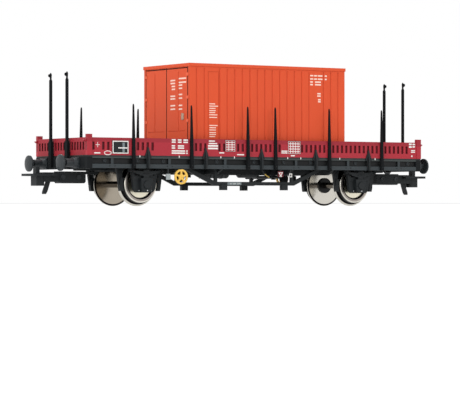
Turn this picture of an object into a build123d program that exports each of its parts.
from build123d import *
import os

# Two-axle stake wagon with a container, a plastic model in 1:87, in millimetres.
# +X runs along the track to the front end, +Y is the left side and +Z is up.
# The origin lies on the floor under the wagon's middle, where the wheel flanges stand.

# Wagon, overall
rail_top = 1.0                 # the flanges reach this far below the rail's top
length_over_buffers = 138.0
wheelbase = 80.5
body_length = 125.0            # over the end boards
body_width = 32.0              # over the side boards
buffer_spacing = 20.1
buffer_height = rail_top + 12.1
coupler_reach = 74.8           # from the wagon's middle to the tip of the coupler's loop

# Levels of the underframe and the boards
sole_bottom = rail_top + 10.5
frame_top = rail_top + 13.95
deck_top = rail_top + 14.4
board_top = rail_top + 19.7
pocket_low = rail_top + 16.0
pocket_high = rail_top + 18.4
floor_bottom = rail_top + 12.5
floor_skin = 0.5
headstock_bottom = rail_top + 10.3

# The board's pockets, the planks, the stakes and the brackets share one grid along the wagon
pitch = 1.722
pocket_width = 0.9
pocket_depth = 0.45
board_thickness = 0.9
stake_steps = (-27, -15, -3, 3, 15, 27)
bracket_steps = (-24, -12, 0, 12, 24)
end_stake_step = 3
last_pocket = 35

# Sole bars and headstocks
web_inner = 15.0
web_outer = 15.35
lower_flange = 1.4
upper_flange = 0.45
rib_spots = (-53.7, -33.5, -13.3, 13.3, 33.5, 53.7)
headstock_inner = 60.6
headstock_outer = 62.9

# Wheels and axles
tread_radius = 5.75
flange_radius = tread_radius + rail_top
axle_height = flange_radius
wheel_inner_face = 7.15
wheel_outer_face = 9.95
axle_radius = 1.0
axle_shoulder = 10.9
journal_radius = 0.6
journal_end = 12.1
running_gap = 0.05             # radial clearance of each journal and pin
guard_inner = 11.2
guard_outer = 12.4

# Container
container_rear = -25.2
container_front = 33.8
container_half_width = 14.0
container_top = rail_top + 43.25
roof_overhang = 0.22           # the roof reaches past the walls by this much all round
panel = 1.0                    # thickness of walls, roof and floor
container_bays = 21

half_body = body_length / 2
half_width = body_width / 2
half_base = wheelbase / 2
axle_spots = ((-1, "rear"), (1, "front"))
sides = ((-1, "right"), (1, "left"))
os.makedirs("parts", exist_ok=True)


def save(part, label):
    part.label = label
    export_step(part, f"parts/{label}.step")


def block(x, y, z, mode=Mode.ADD):
    """A box between two values of x, of y and of z."""
    with Locations(((x[0] + x[1]) / 2, (y[0] + y[1]) / 2, (z[0] + z[1]) / 2)):
        Box(abs(x[1] - x[0]), abs(y[1] - y[0]), abs(z[1] - z[0]), mode=mode)


# Deck: planks lie across the wagon, with a fine joint at every step of the grid. A gap of the same
# width runs along each side board, so each plank's top is a face of its own.
plank_joint = 0.25
joint_depth = 0.12
plank_steps = range(-35, 36)
plank_reach = half_width - board_thickness
with BuildPart() as deck:
    block((-half_body, half_body), (-half_width, half_width), (frame_top, deck_top))
    with Locations([(step * pitch, 0, deck_top - joint_depth / 2) for step in plank_steps]):
        Box(plank_joint, 2 * plank_reach, joint_depth, mode=Mode.SUBTRACT)
    for side, _ in sides:
        block(
            (-half_body + board_thickness, half_body - board_thickness),
            (side * (plank_reach - plank_joint), side * plank_reach),
            (deck_top - joint_depth, deck_top),
            Mode.SUBTRACT,
        )
save(deck.part, "deck")

# Underframe floor: a plate with a window over each wheel.
ballast_bottom = floor_bottom + floor_skin
window_half_length = 5.0
window_inner = 6.6
window_outer = 10.5
with BuildPart() as underframe_floor:
    block((-headstock_inner, headstock_inner), (-web_inner, web_inner), (floor_bottom, ballast_bottom))
    with Locations(
        [
            (end * half_base, side * (window_inner + window_outer) / 2, ballast_bottom - floor_skin / 2)
            for end, _ in axle_spots
            for side, _ in sides
        ]
    ):
        Box(2 * window_half_length, window_outer - window_inner, floor_skin, mode=Mode.SUBTRACT)
save(underframe_floor.part, "underframe_floor")

# Ballast: a plain steel plate between the floor and the deck.
with BuildPart() as ballast_plate:
    block((-headstock_inner, headstock_inner), (-web_inner, web_inner), (ballast_bottom, frame_top))
save(ballast_plate.part, "ballast_plate")

# Centre sills: two bars below the floor, from headstock to headstock, deeper between the axles.
sill_bottom = rail_top + 11.0
belly_bottom = rail_top + 8.9
sill_inner = 3.5
sill_outer = 4.3
sill_outline = (
    (-headstock_inner, sill_bottom),
    (-27.0, sill_bottom),
    (-24.0, belly_bottom),
    (24.0, belly_bottom),
    (27.0, sill_bottom),
    (headstock_inner, sill_bottom),
    (headstock_inner, floor_bottom),
    (-headstock_inner, floor_bottom),
)
with BuildPart() as centre_sills:
    for side, _ in sides:
        with BuildSketch(Plane.XZ.offset(-side * sill_inner)):
            with BuildLine():
                Polyline(sill_outline, close=True)
            make_face()
        extrude(amount=-side * (sill_outer - sill_inner))
save(centre_sills.part, "centre_sills")

# Cross members: six ribs, each in three lengths that butt against the sills and the sole bars. The
# outer lengths of those between the axles are deeper. Rows give place and lowest level.
member_rows = (
    (-57.6, sill_bottom),
    (-29.0, belly_bottom),
    (-13.3, belly_bottom),
    (13.3, belly_bottom),
    (29.0, belly_bottom),
    (57.6, sill_bottom),
)
member_width = 0.8
member_reach = 11.0
with BuildPart() as cross_members:
    for spot, bottom in member_rows:
        span = (spot - member_width / 2, spot + member_width / 2)
        block(span, (-sill_inner, sill_inner), (sill_bottom, floor_bottom))
        for side, _ in sides:
            outline = [(sill_outer, floor_bottom), (sill_outer, bottom), (web_inner, sill_bottom)]
            if bottom < sill_bottom:
                outline.insert(2, (member_reach, bottom))
            outline.append((web_inner, floor_bottom))
            with BuildSketch(Plane.YZ.offset(span[0])):
                with BuildLine():
                    Polyline([(side * y, z) for y, z in outline], close=True)
                make_face()
            extrude(amount=member_width)
save(cross_members.part, "cross_members")

# Sole bars: channels that open outwards, with upright ribs, and the hand wheel's bracket below.
hand_wheel_spot = 29.7
hand_wheel_height = rail_top + 8.0
bracket_face = 15.4
for side, side_name in sides:
    with BuildPart() as sole_bar:
        with BuildSketch(Plane.YZ.offset(-headstock_inner)):
            with BuildLine():
                Polyline(
                    (side * web_inner, sole_bottom),
                    (side * half_width, sole_bottom),
                    (side * half_width, sole_bottom + lower_flange - 0.15),
                    (side * web_outer, sole_bottom + lower_flange),
                    (side * web_outer, frame_top - upper_flange - 0.1),
                    (side * half_width, frame_top - upper_flange),
                    (side * half_width, frame_top),
                    (side * web_inner, frame_top),
                    close=True,
                )
            make_face()
        extrude(amount=2 * headstock_inner)
        for spot in rib_spots:
            block(
                (spot - 0.45, spot + 0.45),
                (side * (web_outer - 0.1), side * (half_width - 0.08)),
                (sole_bottom + lower_flange - 0.2, frame_top - upper_flange + 0.05),
            )
        spot = side * hand_wheel_spot
        with BuildSketch(Plane.XZ.offset(-side * web_inner)):
            with BuildLine():
                Polyline(
                    (spot - 1.6, sole_bottom),
                    (spot - 0.7, hand_wheel_height - 0.7),
                    (spot + 0.7, hand_wheel_height - 0.7),
                    (spot + 1.6, sole_bottom),
                    close=True,
                )
            make_face()
        extrude(amount=-side * (bracket_face - web_inner))
    save(sole_bar.part, f"sole_bar_{side_name}")

# Headstocks: the end beams, with a shallow panel between the buffers and a window for the coupler.
for end, end_name in axle_spots:
    with BuildPart() as headstock:
        block(
            (end * headstock_inner, end * headstock_outer),
            (-half_width, half_width),
            (headstock_bottom, frame_top),
        )
        chamfer(headstock.edges().filter_by(Axis.Z).group_by(Axis.X)[0 if end < 0 else -1], 0.5)
        block(
            (end * (headstock_outer - 0.3), end * headstock_outer),
            (-3.2, 3.2),
            (headstock_bottom + 0.7, frame_top - 0.7),
            Mode.SUBTRACT,
        )
    save(headstock.part, f"headstock_{end_name}")

# Side boards: a plain band above and below a row of blind pockets. The fields that carry
# inscriptions are plain. They are listed for the right side, first and last step, and the left side
# has them turned by half a turn.
plain_fields = ((-34, -34), (-31, -28), (-22, -16), (-11, -10), (-7, -6), (5, 8), (34, 35))
corner_inner = 60.8
corner_outer = half_body
corner_top = board_top + 1.0
corner_proud = 0.25


def is_plain(step, side):
    turned = -step * side
    return any(first <= turned <= last for first, last in plain_fields)


for side, side_name in sides:
    spots = [
        step * pitch
        for step in range(-last_pocket, last_pocket + 1)
        if not is_plain(step, side) and step not in stake_steps
    ]
    with BuildPart() as side_board:
        block(
            (-half_body, half_body),
            (side * (half_width - board_thickness), side * half_width),
            (deck_top, board_top),
        )
        with Locations(
            [(x, side * (half_width - pocket_depth / 2), (pocket_low + pocket_high) / 2) for x in spots]
        ):
            Box(pocket_width, pocket_depth, pocket_high - pocket_low, mode=Mode.SUBTRACT)
        for end, _ in axle_spots:
            block(
                (end * corner_inner, end * corner_outer),
                (side * (half_width - board_thickness), side * (half_width + corner_proud)),
                (deck_top, corner_top),
            )
            # The latch is a small wedge that points out over the end.
            with BuildSketch(Plane.XZ.offset(-side * (half_width - board_thickness))):
                with BuildLine():
                    Polyline(
                        (end * (half_body - 0.2), board_top - 1.3),
                        (end * (half_body + 0.2), board_top - 1.3),
                        (end * (half_body + 0.95), board_top - 0.75),
                        (end * (half_body - 0.2), board_top - 0.3),
                        close=True,
                    )
                make_face()
            extrude(amount=-side * (board_thickness - 0.1))
    save(side_board.part, f"side_board_{side_name}")

# End boards: the same row of pockets, between the side boards.
for end, end_name in axle_spots:
    with BuildPart() as end_board:
        block(
            (end * (half_body - board_thickness), end * half_body),
            (-(half_width - board_thickness), half_width - board_thickness),
            (deck_top, board_top),
        )
        with Locations(
            [
                (end * (half_body - pocket_depth / 2), step * pitch, (pocket_low + pocket_high) / 2)
                for step in range(-8, 9)
                if abs(step) != end_stake_step
            ]
        ):
            Box(pocket_depth, pocket_width, pocket_high - pocket_low, mode=Mode.SUBTRACT)
    save(end_board.part, f"end_board_{end_name}")

# Side stakes: pressed posts that taper to the tip. Rows give height, width along the wagon, depth.
stake_sections = (
    (sole_bottom, 1.05, 0.9),
    (board_top, 0.8, 0.7),
    (rail_top + 29.4, 0.42, 0.38),
    (rail_top + 30.0, 0.25, 0.25),
)
for side, side_name in sides:
    with BuildPart() as side_stakes:
        for step in stake_steps:
            for height, width, depth in stake_sections:
                with BuildSketch(Plane.XY.offset(height)):
                    with Locations((step * pitch, side * (half_width + depth / 2))):
                        Rectangle(width, depth)
            loft(ruled=True)
    save(side_stakes.part, f"side_stakes_{side_name}")

# End stakes: each is turned, with a neck and a knob at the top and a wedge that stands out of the
# knob as a hook for ropes. Each stands in a holder on the headstock. Rows give height and radius.
holder_depth = 0.85
holder_half_width = 0.85
holder_low = rail_top + 10.9
holder_high = board_top - 0.9
stake_profile = (
    (holder_high - 0.1, 0.52),
    (rail_top + 37.4, 0.5),
    (rail_top + 37.9, 0.28),
    (rail_top + 39.3, 0.36),
    (rail_top + 39.85, 0.12),
)
hook_outline = (
    (0.0, rail_top + 38.3),
    (0.55, rail_top + 38.6),
    (0.75, rail_top + 38.9),
    (0.7, rail_top + 39.25),
    (0.4, rail_top + 39.5),
    (0.0, rail_top + 39.5),
)
hook_width = 0.7
for end, end_name in axle_spots:
    with BuildPart() as end_stakes:
        for side, _ in sides:
            x = end * (headstock_outer + holder_depth / 2)
            y = side * end_stake_step * pitch
            block(
                (end * headstock_outer, end * (headstock_outer + holder_depth)),
                (y - holder_half_width, y + holder_half_width),
                (holder_low, holder_high),
            )
            with BuildSketch(Plane.XZ.offset(-y)):
                with BuildLine():
                    Polyline(
                        (x, stake_profile[0][0]),
                        *[(x + radius, height) for height, radius in stake_profile],
                        (x, stake_profile[-1][0]),
                        close=True,
                    )
                make_face()
            revolve(axis=Axis((x, y, 0), (0, 0, 1)))
            with BuildSketch(Plane.XZ.offset(-y - hook_width / 2)):
                with BuildLine():
                    Polyline([(x + end * reach, z) for reach, z in hook_outline], close=True)
                make_face()
            extrude(amount=hook_width)
    save(end_stakes.part, f"end_stakes_{end_name}")

# Board brackets: a strap on the sole bar that spreads to a triangle over the board's foot, with a
# gusset that stands out from it. Rows give place along the wagon and height, then depth and height.
bracket_outline = (
    (-0.45, sole_bottom),
    (-0.45, rail_top + 13.2),
    (-1.2, rail_top + 13.8),
    (-0.25, rail_top + 16.5),
    (0.25, rail_top + 16.5),
    (1.2, rail_top + 13.8),
    (0.45, rail_top + 13.2),
    (0.45, sole_bottom),
)
bracket_depth = 0.35
gusset_outline = (
    (0.0, sole_bottom),
    (0.95, sole_bottom),
    (0.95, rail_top + 13.6),
    (0.35, rail_top + 16.9),
    (0.0, rail_top + 16.9),
)
gusset_width = 0.5
for side, side_name in sides:
    with BuildPart() as board_brackets:
        for step in bracket_steps:
            with BuildSketch(Plane.XZ.offset(-side * half_width)):
                with BuildLine():
                    Polyline([(step * pitch + x, z) for x, z in bracket_outline], close=True)
                make_face()
            extrude(amount=-side * bracket_depth)
            with BuildSketch(Plane.YZ.offset(step * pitch - gusset_width / 2)):
                with BuildLine():
                    Polyline([(side * (half_width + y), z) for y, z in gusset_outline], close=True)
                make_face()
            extrude(amount=gusset_width)
    save(board_brackets.part, f"board_brackets_{side_name}")

# Label boards: a framed panel near one end of each side.
label_rear = -53.8
label_front = -48.3
label_low = rail_top + 14.9
label_high = rail_top + 18.75
with BuildPart() as label_boards:
    for side, _ in sides:
        turn = -side
        block(
            (turn * label_rear, turn * label_front),
            (side * half_width, side * (half_width + 0.35)),
            (label_low, label_high),
        )
        block(
            (turn * (label_rear + 0.3), turn * (label_front - 0.3)),
            (side * (half_width + 0.2), side * (half_width + 0.35)),
            (label_low + 0.3, label_high - 0.3),
            Mode.SUBTRACT,
        )
save(label_boards.part, "label_boards")

# Trusses: a bottom chord, two posts and two diagonals, with a small foot by each post.
truss_inner = 11.3
truss_outer = 12.1
chord_low = rail_top + 5.5
chord_high = rail_top + 6.6
post_inner = 13.8
post_outer = 14.8
for side, side_name in sides:
    with BuildPart() as truss:
        with BuildSketch(Plane.XZ.offset(-side * truss_inner)):
            with Locations((0, (chord_low + chord_high) / 2)):
                Rectangle(2 * post_outer, chord_high - chord_low)
            for end, _ in axle_spots:
                with Locations((end * (post_inner + post_outer) / 2, (chord_low + floor_bottom) / 2)):
                    Rectangle(post_outer - post_inner, floor_bottom - chord_low)
                with BuildLine():
                    Polyline(
                        (end * (post_outer - 0.6), chord_low),
                        (end * (post_outer + 0.3), chord_low),
                        (end * 25.6, rail_top + 10.3),
                        (end * 25.6, floor_bottom),
                        (end * 23.6, floor_bottom),
                        (end * 23.6, rail_top + 10.6),
                        (end * (post_outer - 0.6), chord_high),
                        close=True,
                    )
                make_face()
        extrude(amount=-side * (truss_outer - truss_inner))
        for end, _ in axle_spots:
            block(
                (end * 10.3, end * 12.5),
                (side * (truss_inner - 0.3), side * (truss_outer + 0.3)),
                (rail_top + 4.0, chord_low + 0.3),
            )
    save(truss.part, f"truss_{side_name}")

# Axle guards: a tapered plate with two slanted windows. The journal runs in a blind bore.
guard_bottom = rail_top + 3.2
bore_end = journal_end + 0.1
guard_outline = (
    (-5.0, floor_bottom),
    (-4.3, axle_height + 2.2),
    (-3.8, guard_bottom + 1.0),
    (-2.9, guard_bottom),
    (2.9, guard_bottom),
    (3.8, guard_bottom + 1.0),
    (4.3, axle_height + 2.2),
    (5.0, floor_bottom),
)
guard_window = (
    (1.9, axle_height + 2.6),
    (3.3, axle_height + 2.6),
    (3.8, floor_bottom - 1.6),
    (1.9, floor_bottom - 1.6),
)
for side, side_name in sides:
    with BuildPart() as axle_guards:
        for end, _ in axle_spots:
            with BuildSketch(Plane.XZ.offset(-side * guard_inner)):
                with BuildLine():
                    Polyline([(end * half_base + x, z) for x, z in guard_outline], close=True)
                make_face()
                for hand in (-1, 1):
                    with BuildLine():
                        Polyline([(end * half_base + hand * x, z) for x, z in guard_window], close=True)
                    make_face(mode=Mode.SUBTRACT)
            extrude(amount=-side * (guard_outer - guard_inner))
            bore_middle = side * (guard_inner + bore_end) / 2
            with Locations(Location((end * half_base, bore_middle, axle_height), (90, 0, 0))):
                Cylinder(journal_radius + running_gap, bore_end - guard_inner, mode=Mode.SUBTRACT)
    save(axle_guards.part, f"axle_guards_{side_name}")

# Axle boxes: a block that narrows to its foot, with a round cover in front.
box_outer = 13.8
box_top = axle_height + 1.85
box_foot = guard_bottom + 0.1
box_outline = (
    (-2.05, box_top),
    (-1.9, axle_height - 0.9),
    (-1.4, box_foot),
    (1.4, box_foot),
    (1.9, axle_height - 0.9),
    (2.05, box_top),
)
cover_radius = 1.3
for side, side_name in sides:
    with BuildPart() as axle_boxes:
        for end, _ in axle_spots:
            with BuildSketch(Plane.XZ.offset(-side * guard_outer)):
                with BuildLine():
                    Polyline([(end * half_base + x, z) for x, z in box_outline], close=True)
                make_face()
            extrude(amount=-side * (box_outer - guard_outer))
            with BuildSketch(Plane.XZ.offset(-side * (box_outer - 0.1))):
                with Locations((end * half_base, axle_height - 0.2)):
                    Circle(cover_radius)
            extrude(amount=-side * 0.55, taper=12)
    save(axle_boxes.part, f"axle_boxes_{side_name}")

# Leaf springs: four leaves that grow shorter towards the axle box, a buckle and two hangers.
# Rows give half the leaf's length and its height at the middle.
leaves = ((5.9, rail_top + 9.35), (4.7, rail_top + 9.0), (3.5, rail_top + 8.65), (2.3, rail_top + 8.3))
leaf_thickness = 0.37
leaf_camber = 0.35
spring_inner = guard_outer
spring_outer = 13.5
for side, side_name in sides:
    with BuildPart() as leaf_springs:
        for end, _ in axle_spots:
            centre = end * half_base
            with BuildSketch(Plane.XZ.offset(-side * spring_inner)):
                for reach, height in leaves:
                    rise = leaf_camber * (reach / leaves[0][0]) ** 2
                    with BuildLine():
                        low = ThreePointArc(
                            (centre - reach, height + rise),
                            (centre, height),
                            (centre + reach, height + rise),
                        )
                        high = ThreePointArc(
                            (centre - reach, height + rise + leaf_thickness),
                            (centre, height + leaf_thickness),
                            (centre + reach, height + rise + leaf_thickness),
                        )
                        Line(low @ 0, high @ 0)
                        Line(low @ 1, high @ 1)
                    make_face()
                with Locations((centre, (box_top + rail_top + 10.1) / 2)):
                    Rectangle(1.9, rail_top + 10.1 - box_top)
                for hand in (-1, 1):
                    with Locations((centre + hand * 5.6, (leaves[0][1] + floor_bottom) / 2)):
                        Rectangle(0.8, floor_bottom - leaves[0][1])
            extrude(amount=-side * (spring_outer - spring_inner))
    save(leaf_springs.part, f"leaf_springs_{side_name}")

# Buffers: a foot plate, a stepped sleeve, a stem and a crowned head, turned about their own axis.
# Rows give distance from the wagon's middle and radius.
buffer_foot = 0.3
buffer_foot_half = (2.2, 1.7)
buffer_profile = (
    (headstock_outer + buffer_foot, 0.0),
    (headstock_outer + buffer_foot, 1.75),
    (64.2, 1.35),
    (66.7, 1.25),
    (66.7, 0.75),
    (68.0, 0.75),
    (68.0, 2.5),
    (68.5, 2.5),
    (68.85, 1.5),
    (length_over_buffers / 2, 0.0),
)
for end, end_name in axle_spots:
    with BuildPart() as buffers:
        for side, _ in sides:
            y = side * buffer_spacing / 2
            with BuildSketch(Plane.XZ.offset(-y)):
                with BuildLine():
                    Polyline([(end * x, buffer_height + r) for x, r in buffer_profile], close=True)
                make_face()
            revolve(axis=Axis((0, y, buffer_height), (1, 0, 0)))
            block(
                (end * headstock_outer, end * (headstock_outer + buffer_foot + 0.05)),
                (y - buffer_foot_half[0], y + buffer_foot_half[0]),
                (buffer_height - buffer_foot_half[1], buffer_height + buffer_foot_half[1]),
            )
    save(buffers.part, f"buffers_{end_name}")

# Brake shoes: a curved shoe on each side of each wheel, carried by a hanger that widens upwards.
shoe_inner = 8.4
shoe_outer = 9.8
shoe_gap = 0.35
hanger_inner = shoe_inner + 0.3
shoe_depth = 1.2
shoe_low = -2.1                # from the axle's height
shoe_high = 2.0
with BuildPart() as brake_shoes:
    for end, _ in axle_spots:
        for side, _ in sides:
            for hand in (-1, 1):
                with BuildSketch(Plane.XZ.offset(-side * shoe_inner)):
                    with Locations((end * half_base, axle_height)):
                        Circle(tread_radius + shoe_gap + shoe_depth)
                        Circle(tread_radius + shoe_gap, mode=Mode.SUBTRACT)
                    with Locations((end * half_base + hand * 8.0, axle_height + (shoe_low + shoe_high) / 2)):
                        Rectangle(5.6, shoe_high - shoe_low, mode=Mode.INTERSECT)
                extrude(amount=-side * (shoe_outer - shoe_inner))
                with BuildSketch(Plane.XZ.offset(-side * hanger_inner)):
                    with BuildLine():
                        Polyline(
                            [
                                (end * half_base + hand * x, z)
                                for x, z in (
                                    (6.35, axle_height - 0.2),
                                    (7.5, axle_height - 0.2),
                                    (8.0, axle_height + 3.2),
                                    (8.9, floor_bottom),
                                    (5.4, floor_bottom),
                                    (6.2, axle_height + 3.2),
                                )
                            ],
                            close=True,
                        )
                    make_face()
                extrude(amount=-side * 0.8)
save(brake_shoes.part, "brake_shoes")

# Brake beams: a square bar joins each pair of hangers above the wheels' middle.
beam_offset = 7.1
beam_half = 0.35
beam_height = rail_top + 9.95
with BuildPart() as brake_beams:
    for end, _ in axle_spots:
        for hand in (-1, 1):
            x = end * half_base + hand * beam_offset
            block(
                (x - beam_half, x + beam_half),
                (-hanger_inner, hanger_inner),
                (beam_height - beam_half, beam_height + beam_half),
            )
save(brake_beams.part, "brake_beams")

# Pull rods: two square bars run from beam to beam, one length between the axles and one above each.
rod_spot = 2.9
rod_half = 0.3
rod_low = beam_height - rod_half
rod_high = beam_height + rod_half
inner_beam = half_base - beam_offset
outer_beam = half_base + beam_offset
rod_spans = (
    (-outer_beam + beam_half, -inner_beam - beam_half),
    (-inner_beam + beam_half, inner_beam - beam_half),
    (inner_beam + beam_half, outer_beam - beam_half),
)
with BuildPart() as pull_rods:
    for side, _ in sides:
        for span in rod_spans:
            block(span, (side * (rod_spot - rod_half), side * (rod_spot + rod_half)), (rod_low, rod_high))
save(pull_rods.part, "pull_rods")

# Brake shaft: a cross shaft on two hangers, with an arm that reaches up to each pull rod.
shaft_spot = 11.0
shaft_height = rail_top + 8.2
shaft_length = 19.0
with BuildPart() as brake_shaft:
    with Locations(Location((shaft_spot, 0, shaft_height), (90, 0, 0))):
        Cylinder(0.5, shaft_length)
    for side, _ in sides:
        block(
            (shaft_spot - 0.6, shaft_spot + 0.6),
            (side * 6.0, side * 6.8),
            (shaft_height - 0.8, floor_bottom),
        )
        block(
            (shaft_spot - 0.4, shaft_spot + 0.4),
            (side * (rod_spot - rod_half), side * (rod_spot + rod_half)),
            (shaft_height, rod_low),
        )
save(brake_shaft.part, "brake_shaft")

# Air tank and brake cylinder: turned bodies below the floor, each on a saddle.
# Rows give name, ends along the wagon, radius, how far the ends bulge and the radius of their flat.
vessels = (
    ("air_tank", -12.0, -2.2, 2.3, 0.7, 1.3),
    ("brake_cylinder", 1.6, 8.6, 2.1, 0.4, 1.5),
)
vessel_height = rail_top + 10.1
saddle_half_length = 1.8
saddle_half_width = 1.3
for name, rear, front, radius, bulge, flat in vessels:
    middle = (rear + front) / 2
    outline = (
        (rear, 0.0),
        (rear, flat),
        (rear + bulge, radius),
        (front - bulge, radius),
        (front, flat),
        (front, 0.0),
    )
    with BuildPart() as vessel:
        with BuildSketch(Plane.XZ):
            with BuildLine():
                Polyline([(x, vessel_height + r) for x, r in outline], close=True)
            make_face()
        revolve(axis=Axis((0, 0, vessel_height), (1, 0, 0)))
        block(
            (middle - saddle_half_length, middle + saddle_half_length),
            (-saddle_half_width, saddle_half_width),
            (vessel_height + radius - 0.6, floor_bottom),
        )
    save(vessel.part, name)

# Hand wheels: a rim, a broad hub and five spokes on a short stem that stands on the sole bar's
# bracket.
rim_radius = 2.3
rim_width = 0.55
rim_inner_face = 16.15
rim_depth = 0.55
spoke_count = 5
spoke_width = 0.55
hub_radius = 0.85
with BuildPart() as hand_wheels:
    for side, _ in sides:
        x = side * hand_wheel_spot
        with BuildSketch(Plane.XZ.offset(-side * rim_inner_face)):
            with Locations((x, hand_wheel_height)):
                Circle(rim_radius)
                Circle(rim_radius - rim_width, mode=Mode.SUBTRACT)
                Circle(hub_radius)
                with PolarLocations(0, spoke_count, start_angle=90):
                    Rectangle(rim_radius - rim_width / 2, spoke_width, align=(Align.MIN, Align.CENTER))
        extrude(amount=-side * rim_depth)
        with Locations(
            Location((x, side * (bracket_face + rim_inner_face + 0.1) / 2, hand_wheel_height), (90, 0, 0))
        ):
            Cylinder(0.4, rim_inner_face + 0.1 - bracket_face)
save(hand_wheels.part, "hand_wheels")

# Marker plates: small plates that hang on a stem below the sole bar. They are listed for the right
# side and turned for the left. Rows give place along the wagon, width, height and level of the middle.
marker_plates_list = (
    (7.45, 2.0, 1.8, rail_top + 9.1),
    (11.25, 1.1, 1.2, rail_top + 8.7),
    (-33.9, 1.6, 1.8, rail_top + 8.0),
)
with BuildPart() as marker_plates:
    for side, _ in sides:
        for place, width, height, level in marker_plates_list:
            x = -side * place
            block(
                (x - width / 2, x + width / 2),
                (side * 15.5, side * 15.85),
                (level - height / 2, level + height / 2),
            )
            block((x - 0.25, x + 0.25), (side * 15.55, side * 15.8), (level, sole_bottom))
save(marker_plates.part, "marker_plates")

# Coupler mounts: a block under the floor with an upright bore for the coupler's pin.
mount_inner = 48.6
mount_outer = 56.4
mount_bottom = rail_top + 9.9
coupler_pivot = 52.0
pin_radius = 1.0
pin_top = rail_top + 11.7
with BuildPart() as coupler_mounts:
    for end, _ in axle_spots:
        block(
            (end * mount_inner, end * mount_outer),
            (-sill_inner, sill_inner),
            (mount_bottom, floor_bottom),
        )
        with Locations((end * coupler_pivot, 0, (mount_bottom + pin_top + 0.3) / 2)):
            Cylinder(pin_radius + running_gap, pin_top + 0.3 - mount_bottom, mode=Mode.SUBTRACT)
save(coupler_mounts.part, "coupler_mounts")

# Wheels: turned about the axle, with a tapered tread, a flange, a flat back and a dished front.
# Rows give radius and distance from the wagon's middle line.
wheel_profile = (
    (axle_radius, wheel_inner_face),
    (flange_radius - 0.25, wheel_inner_face),
    (flange_radius, wheel_inner_face + 0.25),
    (flange_radius - 0.12, wheel_inner_face + 0.6),
    (tread_radius + 0.1, wheel_inner_face + 0.95),
    (tread_radius - 0.05, wheel_outer_face - 0.15),
    (tread_radius - 0.2, wheel_outer_face),
    (4.4, wheel_outer_face),
    (4.15, wheel_outer_face - 0.6),
    (2.0, wheel_outer_face - 0.45),
    (1.8, wheel_outer_face),
    (axle_radius, wheel_outer_face),
)
bush_radius = 2.5
bush_depth = 0.5
for end, end_name in axle_spots:
    axle_line = Axis((end * half_base, 0, axle_height), (0, 1, 0))
    for side, side_name in sides:
        with BuildPart() as wheel:
            with BuildSketch(Plane.YZ.offset(end * half_base)):
                with BuildLine():
                    Polyline([(side * y, axle_height + r) for r, y in wheel_profile], close=True)
                make_face()
            revolve(axis=axle_line)
        save(wheel.part, f"wheel_{end_name}_{side_name}")
    with BuildPart() as axle:
        with BuildSketch(Plane.YZ.offset(end * half_base)):
            with BuildLine():
                Polyline(
                    (-journal_end, axle_height),
                    (-journal_end, axle_height + journal_radius),
                    (-axle_shoulder, axle_height + journal_radius),
                    (-axle_shoulder, axle_height + axle_radius),
                    (axle_shoulder, axle_height + axle_radius),
                    (axle_shoulder, axle_height + journal_radius),
                    (journal_end, axle_height + journal_radius),
                    (journal_end, axle_height),
                    close=True,
                )
            make_face()
        revolve(axis=axle_line)
    save(axle.part, f"axle_{end_name}")
    # The insulating bush lies on the back of the front axle's left wheel and the rear axle's right.
    with BuildPart() as wheel_bush:
        with BuildSketch(Plane.XZ.offset(-end * wheel_inner_face)):
            with Locations((end * half_base, axle_height)):
                Circle(bush_radius)
                Circle(axle_radius, mode=Mode.SUBTRACT)
        extrude(amount=end * bush_depth)
    save(wheel_bush.part, f"wheel_bush_{end_name}")

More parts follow.
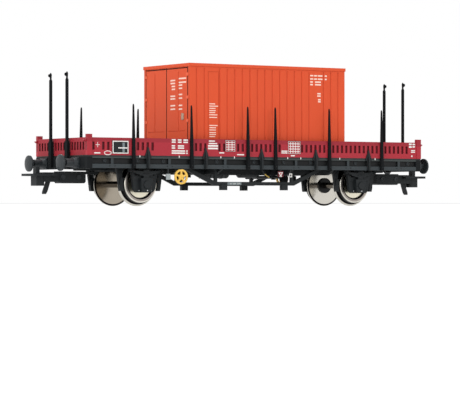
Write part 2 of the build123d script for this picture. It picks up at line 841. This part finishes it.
# Couplers: a shank on an upright pin, a slotted neck and a short head with a horn on top.
# The loop turns on a cross pin in the neck, and its trip lever hangs in the slot.
tail_low = rail_top + 8.8
shank_low = rail_top + 6.0
shank_high = rail_top + 9.6
shank_inner = 55.0
shank_outer = 64.0
neck_half_width = 1.6
head_inner = 69.2
head_outer = 72.0
head_half_width = 1.8
head_low = rail_top + 5.2
head_high = rail_top + 8.7
slot_half_width = 0.6
slot_outer = 70.4
horn_outer = 71.7
horn_half_width = 0.95
horn_top = rail_top + 11.0
loop_pivot_x = 66.3
loop_pivot_z = rail_top + 8.5
loop_pin_radius = 0.45
for end, end_name in axle_spots:
    with BuildPart() as coupler:
        block((end * (coupler_pivot - 1.5), end * shank_inner), (-1.5, 1.5), (tail_low, shank_high))
        with Locations((end * coupler_pivot, 0, (shank_high + pin_top) / 2)):
            Cylinder(pin_radius, pin_top - shank_high)
        block((end * shank_inner, end * shank_outer), (-1.9, 1.9), (shank_low, shank_high))
        chamfer(coupler.edges().filter_by(Axis.Y).group_by(Axis.Z)[0], 0.5)
        block(
            (end * shank_outer, end * head_inner),
            (-neck_half_width, neck_half_width),
            (shank_low + 0.4, loop_pivot_z + 0.8),
        )
        with BuildSketch(Plane.XY.offset(head_low)):
            with BuildLine():
                Polyline(
                    (end * head_inner, -neck_half_width),
                    (end * (head_inner + 0.5), -head_half_width),
                    (end * head_outer, -head_half_width),
                    (end * head_outer, head_half_width),
                    (end * (head_inner + 0.5), head_half_width),
                    (end * head_inner, neck_half_width),
                    close=True,
                )
            make_face()
        extrude(amount=head_high - head_low)
        block((end * slot_outer, end * horn_outer), (-horn_half_width, horn_half_width), (head_high, horn_top))
        block(
            (end * shank_outer, end * slot_outer),
            (-slot_half_width, slot_half_width),
            (head_low, loop_pivot_z + 0.8),
            Mode.SUBTRACT,
        )
        with Locations(Location((end * loop_pivot_x, 0, loop_pivot_z), (90, 0, 0))):
            Cylinder(loop_pin_radius + running_gap, 2 * neck_half_width, mode=Mode.SUBTRACT)
    save(coupler.part, f"coupler_{end_name}")

    loop_inner = 2.85
    loop_outer = 3.55
    with BuildPart() as coupler_loop:
        with BuildSketch(Plane.XY.offset(loop_pivot_z - 0.35)):
            with BuildLine():
                Polyline(
                    (end * (loop_pivot_x - 0.5), -loop_outer),
                    (end * (coupler_reach - 1.0), -loop_outer),
                    (end * coupler_reach, -loop_outer + 1.0),
                    (end * coupler_reach, loop_outer - 1.0),
                    (end * (coupler_reach - 1.0), loop_outer),
                    (end * (loop_pivot_x - 0.5), loop_outer),
                    (end * (loop_pivot_x - 0.5), loop_inner),
                    (end * (coupler_reach - 1.4), loop_inner),
                    (end * (coupler_reach - 0.9), loop_inner - 0.5),
                    (end * (coupler_reach - 0.9), -loop_inner + 0.5),
                    (end * (coupler_reach - 1.4), -loop_inner),
                    (end * (loop_pivot_x - 0.5), -loop_inner),
                    close=True,
                )
            make_face()
        extrude(amount=0.7)
        with Locations(Location((end * loop_pivot_x, 0, loop_pivot_z), (90, 0, 0))):
            Cylinder(loop_pin_radius, 2 * loop_inner + 0.2)
        with BuildSketch(Plane.XZ.offset(-0.45)):
            with BuildLine():
                Polyline(
                    (end * (loop_pivot_x - 0.6), loop_pivot_z + 0.2),
                    (end * (loop_pivot_x + 0.6), loop_pivot_z + 0.2),
                    (end * (loop_pivot_x + 2.6), rail_top + 3.4),
                    (end * (loop_pivot_x + 2.6), rail_top + 2.7),
                    (end * (loop_pivot_x + 1.7), rail_top + 2.7),
                    (end * (loop_pivot_x + 1.2), rail_top + 3.4),
                    close=True,
                )
            make_face()
        extrude(amount=0.9)
    save(coupler_loop.part, f"coupler_loop_{end_name}")

# Container: side walls with upright grooves, each a shallow trapezoid. Two grooves are left out on
# each side, where flat panels carry the inscriptions.
wall_rear = container_rear + roof_overhang
wall_front = container_front - roof_overhang
wall_outer = container_half_width - roof_overhang
wall_inner = wall_outer - panel
wall_top = container_top - panel
bay = (container_front - container_rear) / container_bays
groove_low = deck_top + 1.6
groove_high = wall_top - 0.5
groove_mouth = 0.6
groove_floor = 0.3
groove_depth = 0.22
flat_bays = (3, 17)


def groove_section(centre, face, inward):
    """One groove's outline across the wall: mouth at the face, narrower floor inside."""
    return [
        (centre - groove_mouth / 2, face),
        (centre + groove_mouth / 2, face),
        (centre + groove_floor / 2, face + inward * groove_depth),
        (centre - groove_floor / 2, face + inward * groove_depth),
    ]


for side, side_name in sides:
    with BuildPart() as container_side:
        block((wall_rear, wall_front), (side * wall_inner, side * wall_outer), (deck_top, wall_top))
        with BuildSketch(Plane.XY.offset(groove_low)):
            for count in range(1, container_bays):
                if count not in flat_bays:
                    with BuildLine():
                        Polyline(
                            groove_section(container_rear + count * bay, side * wall_outer, -side),
                            close=True,
                        )
                    make_face()
        extrude(amount=groove_high - groove_low, mode=Mode.SUBTRACT)
    save(container_side.part, f"container_side_{side_name}")

# Container end wall, opposite the doors, with the same grooves.
end_bays = 10
end_bay = 2 * wall_inner / end_bays
with BuildPart() as container_end:
    block((wall_front - panel, wall_front), (-wall_inner, wall_inner), (deck_top, wall_top))
    with BuildSketch(Plane.XY.offset(groove_low)):
        for count in range(1, end_bays):
            across = groove_section(-wall_inner + count * end_bay, wall_front, -1)
            with BuildLine():
                Polyline([(x, y) for y, x in across], close=True)
            make_face()
    extrude(amount=groove_high - groove_low, mode=Mode.SUBTRACT)
save(container_end.part, "container_end")

# Container door frame: a ring behind the doors, with a header above and a sill below them.
door_back = wall_rear + 0.6
door_low = deck_top + 1.3
door_high = wall_top - 0.55
door_gap = 0.28
header_gap = 0.35
ring_width = 1.5
with BuildPart() as container_door_frame:
    block((door_back, wall_rear + panel), (-wall_inner, wall_inner), (deck_top, wall_top))
    block(
        (door_back, wall_rear + panel),
        (-wall_inner + ring_width, wall_inner - ring_width),
        (door_low + ring_width, door_high - ring_width),
        Mode.SUBTRACT,
    )
    block((wall_rear, door_back), (-wall_inner, wall_inner), (door_high + header_gap, wall_top))
    block((wall_rear, door_back), (-wall_inner, wall_inner), (deck_top, door_low - door_gap))
save(container_door_frame.part, "container_door_frame")

# Container doors: two leaves, each with an upright groove above a level one near the foot.
door_groove = 0.3
door_groove_depth = 0.15
door_groove_place = 7.1
door_groove_inner = 1.3
door_band = door_low + 6.4
for side, side_name in sides:
    with BuildPart() as container_door:
        block(
            (wall_rear, door_back),
            (side * door_gap / 2, side * (wall_inner - door_gap)),
            (door_low, door_high),
        )
        block(
            (wall_rear, wall_rear + door_groove_depth),
            (side * (door_groove_place - door_groove / 2), side * (door_groove_place + door_groove / 2)),
            (door_band, door_high - 0.8),
            Mode.SUBTRACT,
        )
        block(
            (wall_rear, wall_rear + door_groove_depth),
            (side * door_groove_inner, side * (wall_inner - 1.6)),
            (door_band, door_band + door_groove),
            Mode.SUBTRACT,
        )
    save(container_door.part, f"container_door_{side_name}")

# Container roof: a plate with shallow beads across it.
with BuildPart() as container_roof:
    block(
        (container_rear, container_front),
        (-container_half_width, container_half_width),
        (wall_top, container_top),
    )
    with Locations(
        [(container_rear + count * bay, 0, container_top - 0.1) for count in range(2, container_bays - 1)]
    ):
        Box(groove_mouth, 2 * wall_inner - 1.0, 0.2, mode=Mode.SUBTRACT)
save(container_roof.part, "container_roof")

# Container floor: a plate between the walls, just clear of the deck.
floor_rise = 0.2
with BuildPart() as container_floor:
    block(
        (wall_rear + panel, wall_front - panel),
        (-wall_inner, wall_inner),
        (deck_top + floor_rise, deck_top + floor_rise + panel),
    )
save(container_floor.part, "container_floor")

# Container fittings: four hinges by each door post and a lock plate on the right leaf.
hinge_levels = (rail_top + 18.4, rail_top + 25.5, rail_top + 32.7, rail_top + 39.8)
hinge_inner = wall_inner - 0.9
hinge_outer = wall_inner + 0.35
lock_level = rail_top + 26.8
lock_half_height = 1.0
lock_span = (-10.5, -9.2)
with BuildPart() as container_locks:
    for side, _ in sides:
        for level in hinge_levels:
            block(
                (wall_rear - 0.2, wall_rear),
                (side * hinge_inner, side * hinge_outer),
                (level - 0.4, level + 0.4),
            )
    block(
        (wall_rear - 0.2, wall_rear),
        lock_span,
        (lock_level - lock_half_height, lock_level + lock_half_height),
    )
save(container_locks.part, "container_locks")
